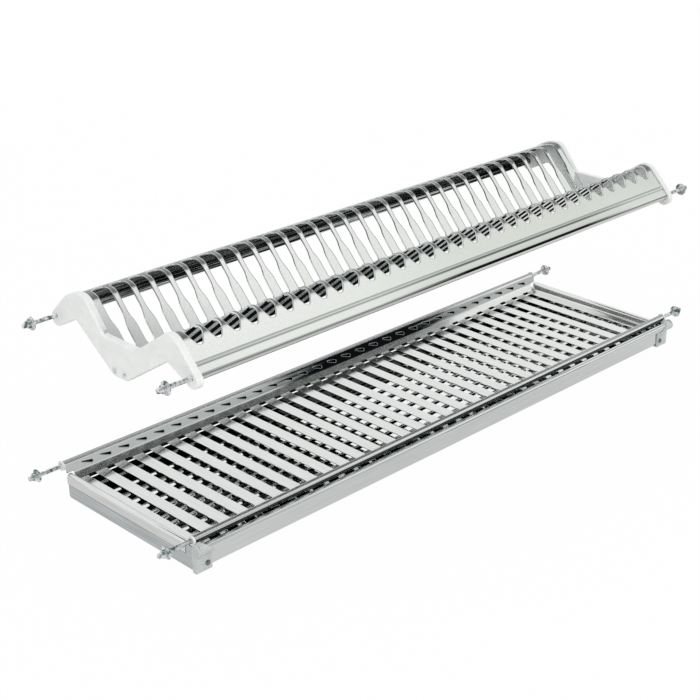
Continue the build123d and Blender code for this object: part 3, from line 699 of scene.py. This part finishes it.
# the rail's inner turn is a dark sheet of painted shade behind the drain holes
RAIL_TURN_HALF = 394.0         # half the length of a rail's inner turn
RAIL_TURN_GAUGE = 0.35
DRAIN_PITCH = 25.0
DRAIN_COUNT = 31
DRAIN_LIP_MIDDLE = 0.45        # of the lip, outwards from the edge of the drain
DRAIN_RAY_Y = 96               # inside both side walls, where the rays that find them start
DRIP_GUIDE_HALF = 392.0
DRIP_GUIDE_GAUGE = 0.6


class DRAINER_OT_rail_shade_sheets(bpy.types.Operator):
    """A dark sheet behind each side wall and its drain holes: painted shade in the place of the
    rolled rail's inner turn
    """
    bl_idname = "drainer.rail_turns"
    bl_label = "Rail shade sheets"

    def execute(self, context):
        # (y, z) in mm behind the back wall, from under the rail down to the wall's foot
        line = [(110.2, -2.9), (109.2, -4.2), (108.0, -5.4), (107.1, -6.2)]
        for row_name, side in (("front", -1), ("back", 1)):
            rows = []
            for x in (-RAIL_TURN_HALF, RAIL_TURN_HALF):
                outer = [place_mm(x, side * y, z, LOWER_Z) for y, z in line]
                inner = [place_mm(x, side * (y + RAIL_TURN_GAUGE), z - RAIL_TURN_GAUGE, LOWER_Z)
                         for y, z in reversed(line)]
                rows.append(outer + inner)
            verts, faces = swept([rows], False)
            mesh_piece(f"rail_painted_shade_sheet_{row_name}", verts, faces, FINISH["inner"], "racks")
        return {"FINISHED"}


def drain_outline():
    """The leaf-shaped drain hole in X and Z from its middle and the bolt axis, in mm."""
    head = arc_points((6.0, -4.0), 1.5, 251.8, 190.2, 8)
    return refined(head + arc_points((-6.0, -1.2), 0.4, 82.0, 169.8, 4), 3.0)


class DRAINER_OT_drain_lips(bpy.types.Operator):
    """The bright lips punched round the leaf-shaped drains of the deck's side walls"""
    bl_idname = "drainer.drain_lips"
    bl_label = "Drain lips"

    def execute(self, context):
        deck = bpy.data.objects["glass_rack_deck"]
        outline = drain_outline()
        # (across, rise) in mm: out from the edge of the drain, and off the wall
        section = [(0.15, 0.0), (0.35, 0.3), (0.6, 0.3), (0.8, 0.0), (0.45, -0.3)]
        for row_name, side in (("front", -1), ("back", 1)):
            paths = []
            for k in range(DRAIN_COUNT):
                centre = (k - (DRAIN_COUNT - 1) / 2) * DRAIN_PITCH
                rows = []
                for i, (x, z) in enumerate(outline):
                    x0, z0 = outline[i - 1]
                    x1, z1 = outline[(i + 1) % len(outline)]
                    length = hypot(x1 - x0, z1 - z0)
                    out = Vector(((z1 - z0) / length, 0.0, -(x1 - x0) / length))
                    start = place_mm(centre + x + out.x * DRAIN_LIP_MIDDLE, side * DRAIN_RAY_Y,
                                     z + out.z * DRAIN_LIP_MIDDLE, LOWER_Z)
                    hit, base, facing, _ = deck.ray_cast(start, Vector((0, side, 0)))
                    if not hit:
                        raise RuntimeError(f"no wall behind drain {k} at {x:.1f}, {z:.1f}")
                    rows.append([base + out * ((across - DRAIN_LIP_MIDDLE) * MM)
                                 + facing * (rise * MM) for across, rise in section])
                paths.append(rows)
            verts, faces = swept(paths, True)
            mesh_piece(f"drain_lips_{row_name}", verts, faces, FINISH["rim"], "racks")
        return {"FINISHED"}


class DRAINER_OT_drip_guide(bpy.types.Operator):
    """The strip under the deck's back slope that guides drips into the tray"""
    bl_idname = "drainer.drip_guide"
    bl_label = "Rear drip guide"

    def execute(self, context):
        line = [(101.5, -11.6), (101.2, -14.0), (101.0, -18.0), (100.9, -20.0)]
        rows = []
        for x in (-DRIP_GUIDE_HALF, DRIP_GUIDE_HALF):
            outer = [place_mm(x, y, z, LOWER_Z) for y, z in line]
            rows.append(outer + [place_mm(x, y + DRIP_GUIDE_GAUGE, z, LOWER_Z)
                                 for y, z in reversed(line)])
        verts, faces = swept([rows], False)
        # its dark grey finish is painted shade under the deck's back slope
        mesh_piece("rear_drip_guide", verts, faces, FINISH["inner"], "racks")
        return {"FINISHED"}


class DRAINER_OT_tray_tabs(bpy.types.Operator):
    """The corner tabs of the tray's end walls, which close the end beside each bracket"""
    bl_idname = "drainer.tray_tabs"
    bl_label = "Tray corner tabs"

    def execute(self, context):
        outline = [(-117.2, -18.6), (-117.2, -8.2), (-116.4, -7.2), (-112.0, -6.4), (-107.0, -6.6),
                   (-103.4, -7.8), (-102.6, -9.0), (-102.6, -18.6)]
        for word, end in (("left", -1), ("right", 1)):
            rows = []
            # along X through the tab's thickness, with its edges drawn in at both faces
            for x, inset in ((404.15, 0.25), (404.25, 0.0), (404.85, 0.0), (404.95, 0.25)):
                rows.append([place_mm(end * x, y + (inset if y < -110 else -inset),
                                      z - (inset if z > -12 else 0.0), LOWER_Z)
                             for y, z in outline])
            verts, faces = swept([rows], False)
            mesh_piece(f"tray_corner_tab_{word}", verts, faces, FINISH["tray"], "tray",
                       smooth=False)
        return {"FINISHED"}


# Turned outline of a bolt from its flange outwards: (x, radius, hexagonal), in mm
BOLT_HEAD = [
    (0.0, 2.5, False), (0.0, 6.8, False), (0.2, 7.4, False), (0.5, 7.5, False), (1.1, 7.45, False),
    (1.5, 6.9, False), (1.5, 4.75, False), (1.5, 4.0, True), (6.0, 4.0, True), (6.5, 3.75, True),
    (6.5, 3.0, False), (6.6, 2.95, False), (10.2, 2.95, False), (10.8, 2.7, False),
    (11.0, 2.3, False), (11.0, 0.6, False),
]
BOLT_SEGMENTS = 36
BOLT_HEAD_LENGTH = BOLT_HEAD[-1][0]
SHANK_LENGTH = 44.5
SHANK_RADIUS = 2.5
THREAD_DEPTH = 0.16
THREAD_RUN_OUT = 1.0           # at both ends of the shank
THREAD_ROWS = 3                # rows of points in one pitch


HEXAGON_CORNER = 1.12          # a rounded corner's distance from the axis, over that of a side


def hexagon_radius(flat_radius, angle):
    """Distance from the axis to a hexagon's side at an angle, with its corners rounded off."""
    turned = (angle % (pi / 3)) - pi / 6
    return min(flat_radius / cos(turned), flat_radius * HEXAGON_CORNER)


def bolt_mesh(pitch):
    """Verts and faces of one bolt along X with its flange's inner face at zero, in mm."""
    rows = []
    angles = [2 * pi * j / BOLT_SEGMENTS for j in range(BOLT_SEGMENTS)]
    steps = int(SHANK_LENGTH / pitch * THREAD_ROWS)
    for i in range(steps + 1):
        x = -SHANK_LENGTH + i * SHANK_LENGTH / steps
        ease = min(1.0, (SHANK_LENGTH + x) / THREAD_RUN_OUT, -x / THREAD_RUN_OUT)
        row = []
        for angle in angles:
            phase = (x / pitch + angle / (2 * pi)) % 1.0
            radius = SHANK_RADIUS - THREAD_DEPTH * abs(2 * phase - 1) * max(ease, 0.0)
            row.append((x, radius * cos(angle), radius * sin(angle)))
        rows.append(row)
    for x, radius, is_hexagon in BOLT_HEAD:
        row = []
        for angle in angles:
            r = hexagon_radius(radius, angle) if is_hexagon else radius
            row.append((x, r * cos(angle), r * sin(angle)))
        rows.append(row)
    return swept([rows], False)


class DRAINER_OT_bolts(bpy.types.Operator):
    """The eight threaded adjusting bolts with flange, hexagon and tip"""
    bl_idname = "drainer.bolts"
    bl_label = "Adjusting bolts"

    def execute(self, context):
        verts, faces = bolt_mesh(context.scene.drainer.thread_pitch / MM)
        for tier in ("plate_rack", "glass_rack"):
            for row in ("front", "back"):
                for word, end in (("left", -1), ("right", 1)):
                    node = f"{tier}_bolt_{row}_{word}"
                    low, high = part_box(node)
                    tip_x = high[0] if end > 0 else low[0]
                    y, z = (low[1] + high[1]) / 2, (low[2] + high[2]) / 2
                    placed = [(tip_x + end * (x - BOLT_HEAD_LENGTH) * MM, y + end * v * MM,
                               z + w * MM) for x, v, w in verts]
                    piece = mesh_piece(f"threaded_{node}", placed, faces, FINISH["zinc"],
                                       node + "_body")
                    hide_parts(node)
        return {"FINISHED"}


# The finish of the CAD nodes whose names begin so; the first that fits is taken
NODE_FINISH = (
    ("plate_rack_sheet", "rack"), ("glass_rack_deck", "deck"), ("drip_tray", "tray"),
    ("tray_runner", "rack"), ("plate_rack_cap", "plastic"), ("rail_plug", "plastic"),
    ("tray_bracket_screw", "screw"), ("tray_bracket", "greyed plastic"),
    ("tray_bead_cap", "greyed plastic"),
    ("plate_rack_screws", "zinc"), ("plate_rack_inserts", "brass"), ("glass_rack_inserts", "brass"),
    ("plate_rack_bolt", "zinc"), ("glass_rack_bolt", "zinc"),
)


class DRAINER_OT_finishes(bpy.types.Operator):
    """The finishes of the pressed sheets, mouldings, screws and bushes of the CAD frame"""
    bl_idname = "drainer.finishes"
    bl_label = "Finishes"

    def execute(self, context):
        FINISH.update(make_materials(context.scene.drainer))
        for node in frame["nodes"]:
            finish = next(FINISH[key] for start, key in NODE_FINISH if node.startswith(start))
            mesh = bpy.data.objects[node].data
            mesh.materials.clear()
            mesh.materials.append(finish)
        return {"FINISHED"}


CAMERA_AZIMUTH = -44.4648      # degrees, measured as camera_axes takes them
CAMERA_ELEVATION = 23.844
CAMERA_ROLL = -0.4476
CAMERA_DISTANCE = 1.8507       # metres from the plane through the frame's origin
CAMERA_ACROSS, CAMERA_RISE = -0.05429, 0.07548
CAMERA_LENS = 77.776           # mm on a 36 mm sensor
LAMP_AIM = Vector((0, 0, 0.12))
FLOOR_HALF = 6.0
FLOOR_GLOW = 0.97              # share of the floor's white that comes from its own light
WORLD_FILL = 0.72              # strength of the white surroundings as a light on matt things


def camera_axes():
    """The camera's right, up and back directions."""
    a, e, r = (radians(v) for v in (CAMERA_AZIMUTH, CAMERA_ELEVATION, CAMERA_ROLL))
    back = Vector((sin(a) * cos(e), -cos(a) * cos(e), sin(e)))
    right = (-back).cross(Vector((0, 0, 1))).normalized()
    up = right.cross(-back)
    return right * cos(r) + up * sin(r), up * cos(r) - right * sin(r), back


def soft_lamp(name, at, size, power):
    """A large white soft box that looks at the drainer and isn't mirrored in its steel."""
    data = bpy.data.lights.new(name, "AREA")
    data.shape = "RECTANGLE"
    data.size, data.size_y = size
    data.energy = power
    lamp = bpy.data.objects.new(name, data)
    lamp.location = at
    lamp.rotation_euler = (LAMP_AIM - Vector(at)).to_track_quat("-Z", "Y").to_euler()
    lamp.visible_glossy = False
    bpy.context.scene.collection.objects.link(lamp)


def stage_piece(name, verts, faces):
    """A flat piece of the stage."""
    mesh = bpy.data.meshes.new(name)
    mesh.from_pydata(verts, [], faces)
    piece = bpy.data.objects.new(name, mesh)
    bpy.context.scene.collection.objects.link(piece)
    return piece


def seen_white(tree):
    """1 for rays that look at the background itself, straight or in metal and plastic."""
    rays = add_node(tree, "LightPath").outputs
    seen = add_node(tree, "Math", rays["Is Camera Ray"], rays["Is Glossy Ray"], operation="MAXIMUM")
    return add_node(tree, "Math", seen, rays["Is Transmission Ray"], operation="MAXIMUM")


def pale_floor(colour):
    """The white paper under the drainer, which takes a faint shadow and, in mirrors, a painted
    shade that greys it near the drainer.
    """
    half = FLOOR_HALF
    floor = stage_piece("pale_floor", [(-half, -half, 0), (half, -half, 0), (half, half, 0),
                                       (-half, half, 0)], [(0, 1, 2, 3)])
    material = bpy.data.materials.new("paper_background_white")
    tree = bare_tree(material)
    matte = add_node(tree, "BsdfDiffuse", colour)
    place = add_node(tree, "TexCoord").outputs["Object"]
    reach = add_node(tree, "VectorMath", place, operation="LENGTH")
    # painted shade: seen in metal, the floor goes grey near the drainer and white far off
    in_metal = add_node(tree, "LightPath").outputs["Is Glossy Ray"]
    mirrored_painted_shade = add_node(tree, "MapRange", reach, 0.2, 2.2, 0.62, 1.0)
    tone = add_node(tree, "Mix", in_metal, 1.0, mirrored_painted_shade, data_type="FLOAT")
    glow = add_node(tree, "Emission", linear("ffffff"), tone)
    share = add_node(tree, "Math", seen_white(tree), FLOOR_GLOW, operation="MULTIPLY")
    add_node(tree, "OutputMaterial", add_node(tree, "MixShader", share, matte, glow))
    floor.data.materials.append(material)


def studio_world():
    """White surroundings for the eye; metal mirrors a room of grey walls, a horizon and a card."""
    world = bpy.data.worlds.new("studio")
    tree = bare_tree(world)
    strength = add_node(tree, "MapRange", seen_white(tree), None, None, WORLD_FILL, 1.0)
    toward = add_node(tree, "TexCoord").outputs["Generated"]
    toward = add_node(tree, "SeparateXYZ", toward).outputs
    depth = add_node(tree, "MapRange", toward["Y"], -1.0, 1.0)
    walls = add_node(tree, "ValToRGB", depth, stops=(
        (0.0, "c8cac9"), (0.18, "dcdfde"), (0.24, "fafbfa"), (0.3, "ffffff"), (0.33, "f6f8f5"),
        (0.38, "b4b8b8"), (0.46, "a6aaaa"), (0.6, "dcdddc"), (0.75, "f6f7f7"), (0.9, "eceeee")))
    height = add_node(tree, "MapRange", toward["Z"], 0.0, 1.0)
    horizon = add_node(tree, "ValToRGB", height, stops=(
        (0.0, "b4b6b5"), (0.06, "8e908f"), (0.13, "d0d2d2"), (0.22, "ffffff"), (0.42, "f6f7f6"),
        (0.47, "f4f5f4"), (0.62, "f2f4f2"), (0.72, "ffffff"), (0.86, "f0f2f1")))
    in_front = add_node(tree, "MapRange", toward["Y"], 0.1, 0.5, 1.0, 0.35)
    room = add_node(tree, "Mix", in_front, walls, horizon, data_type="RGBA", blend_type="MULTIPLY")
    near = add_node(tree, "MapRange", toward["X"], 0.50, 0.62, 1.0, 0.0)
    before = add_node(tree, "MapRange", toward["Y"], -0.475, -0.445, 1.0, 0.0)
    card = add_node(tree, "Math", near, before, operation="MULTIPLY")
    above = add_node(tree, "MapRange", toward["Z"], 0.4, 0.5)
    card = add_node(tree, "Math", card, above, operation="MULTIPLY")
    room = add_node(tree, "Mix", card, room, linear("8b9092"), data_type="RGBA")
    in_metal = add_node(tree, "LightPath").outputs["Is Glossy Ray"]
    seen = add_node(tree, "Mix", in_metal, linear("ffffff"), room, data_type="RGBA")
    add_node(tree, "OutputWorld", add_node(tree, "Background", seen, strength))
    return world


def black_flag():
    """Black felt behind and before the drainer, seen only in its steel, that draws dark lines."""
    verts = [(0.74, -1.0, 0.0), (1.2, -1.0, 0.0), (1.2, -1.0, 0.17), (0.74, -1.0, 0.17)]
    faces = [(0, 1, 2, 3)]
    for y0, y1 in ((0.36, 0.46), (0.52, 0.8)):
        first = len(verts)
        verts += [(-0.5, y0, 0.002), (1.4, y0, 0.002), (1.4, y1, 0.002), (-0.5, y1, 0.002)]
        faces.append((first, first + 1, first + 2, first + 3))
    flag = stage_piece("black_flag", verts, faces)
    for ray in ("camera", "diffuse", "shadow", "transmission"):
        setattr(flag, "visible_" + ray, False)
    material = bpy.data.materials.new("felt_black")
    tree = bare_tree(material)
    add_node(tree, "OutputMaterial", add_node(tree, "BsdfDiffuse", linear("1c1d1e")))
    flag.data.materials.append(material)


def photograph_camera():
    """The camera at the photograph's angle."""
    right, up, back = camera_axes()
    data = bpy.data.cameras.new("photograph_camera")
    data.lens = CAMERA_LENS
    data.sensor_width = 36
    data.clip_end = 50
    camera = bpy.data.objects.new("photograph_camera", data)
    eye = right * CAMERA_ACROSS + up * CAMERA_RISE + back * CAMERA_DISTANCE
    turn = Matrix((right, up, back)).transposed().to_4x4()
    camera.matrix_world = Matrix.Translation(eye) @ turn
    bpy.context.scene.collection.objects.link(camera)
    return camera


class DRAINER_OT_stage(bpy.types.Operator):
    """The pale floor, the soft lamps and the camera at the photograph's angle"""
    bl_idname = "drainer.stage"
    bl_label = "Stage"

    def execute(self, context):
        scene = context.scene
        scene.view_settings.view_transform = "Standard"
        pale_floor(scene.drainer.floor_colour)
        scene.world = studio_world()
        soft_lamp("key_softbox", (-1.6, -2.2, 2.4), (1.8, 1.8), 34)
        soft_lamp("back_softbox", (1.9, 2.0, 1.5), (3.0, 2.0), 15)
        black_flag()
        scene.camera = photograph_camera()
        return {"FINISHED"}


class DRAINER_PT_pieces(bpy.types.Panel):
    """The sidebar panel with the settings and a button for each piece"""
    bl_idname = "DRAINER_PT_pieces"
    bl_label = "Dish drainer"
    bl_space_type = "VIEW_3D"
    bl_region_type = "UI"
    bl_category = "Drainer"

    def draw(self, context):
        settings = context.scene.drainer
        for name in settings.__annotations__:
            self.layout.prop(settings, name)
        for operator in PIECE_OPERATORS:
            self.layout.operator(operator.bl_idname)


FINISH = {}
PIECE_OPERATORS = (DRAINER_OT_finishes, DRAINER_OT_plate_sheet, DRAINER_OT_flanges,
                   DRAINER_OT_front_bead, DRAINER_OT_rail_shade_sheets, DRAINER_OT_drain_lips,
                   DRAINER_OT_drip_guide, DRAINER_OT_tray_tabs, DRAINER_OT_bolts,
                   DRAINER_OT_stage)
CLASSES = (DrainerSettings, *PIECE_OPERATORS, DRAINER_PT_pieces)


def register():
    """Register the classes and give the scene its drainer settings."""
    for each in CLASSES:
        bpy.utils.register_class(each)
    bpy.types.Scene.drainer = bpy.props.PointerProperty(type=DrainerSettings)


def unregister():
    """Undo what register did."""
    del bpy.types.Scene.drainer
    for each in reversed(CLASSES):
        bpy.utils.unregister_class(each)


def main():
    """Build the drainer and its stage."""
    register()
    bpy.ops.drainer.finishes()
    bpy.ops.drainer.plate_sheet()
    bpy.ops.drainer.flanges()
    bpy.ops.drainer.front_bead()
    bpy.ops.drainer.rail_turns()
    bpy.ops.drainer.drain_lips()
    bpy.ops.drainer.drip_guide()
    bpy.ops.drainer.tray_tabs()
    bpy.ops.drainer.bolts()
    bpy.ops.drainer.stage()


if __name__ == "__main__":
    main()
